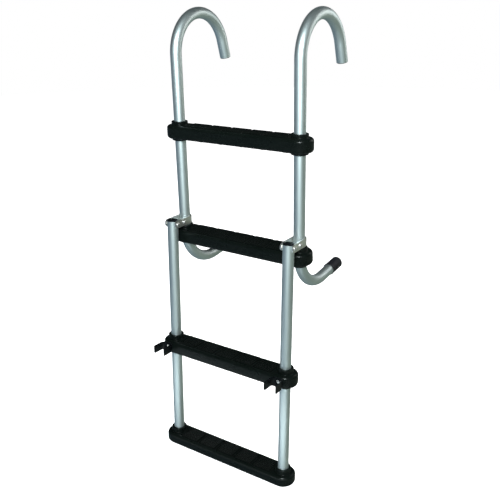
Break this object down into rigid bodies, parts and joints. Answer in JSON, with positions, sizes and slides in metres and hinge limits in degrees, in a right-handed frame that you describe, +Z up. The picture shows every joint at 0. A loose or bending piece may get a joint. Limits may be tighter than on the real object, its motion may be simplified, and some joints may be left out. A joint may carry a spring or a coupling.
{
  "type": "boat boarding ladder",
  "caption": "Folding boat boarding ladder: hooked tube rails with stand-offs, black non-slip treads and a hinged lower section that folds up against clips.",
  "frame": {"origin": "inside crown of the two gunwale hooks, midway between them, where the ladder hangs", "axes": "+X along the treads, +Y towards the hull, +Z up along the rails"},
  "size_m": [0.3756, 0.3198, 1.0639],
  "materials": {
    "tube": "satin anodised",
    "steel": "polished stainless",
    "tread": "moulded, light sheen, fine non-slip texture on the pads",
    "black_trim": "moulded, light sheen",
    "vinyl": "matt, soft",
    "nylon": "natural nylon"
  },
  "bodies": {
    "upper_section": {"rail_left": "tube", "hook_plug_left": "black_trim", "standoff_tip_left": "vinyl", "hinge_strap_left": "steel", "pivot_bolt_left": "steel", "pivot_nut_left": "steel", "clamp_bolt_left": "steel", "clamp_nut_left": "steel", "tread_1_left_screw": "steel", "tread_2_left_screw": "steel", "rail_right": "tube", "hook_plug_right": "black_trim", "standoff_tip_right": "vinyl", "hinge_strap_right": "steel", "pivot_bolt_right": "steel", "pivot_nut_right": "steel", "clamp_bolt_right": "steel", "clamp_nut_right": "steel", "tread_1_right_screw": "steel", "tread_2_right_screw": "steel", "tread_1": "tread", "tread_2": "tread"},
    "lower_section": {"lower_tube_left": "tube", "tube_plug_left": "black_trim", "pivot_sleeve_left": "nylon", "rail_clip_left": "black_trim", "clip_screw_left": "steel", "tread_3_left_screw": "steel", "tread_4_left_screw": "steel", "lower_tube_right": "tube", "tube_plug_right": "black_trim", "pivot_sleeve_right": "nylon", "rail_clip_right": "black_trim", "clip_screw_right": "steel", "tread_3_right_screw": "steel", "tread_4_right_screw": "steel", "tread_3": "tread", "tread_4": "tread"}
  },
  "joints": [
    {"name": "fold", "type": "hinge", "parent": "upper_section", "child": "lower_section", "pos_m": [0, -0.1333, -0.4525], "axis": [-1, 0, 0], "range_deg": [0, 177.5]}
  ]
}
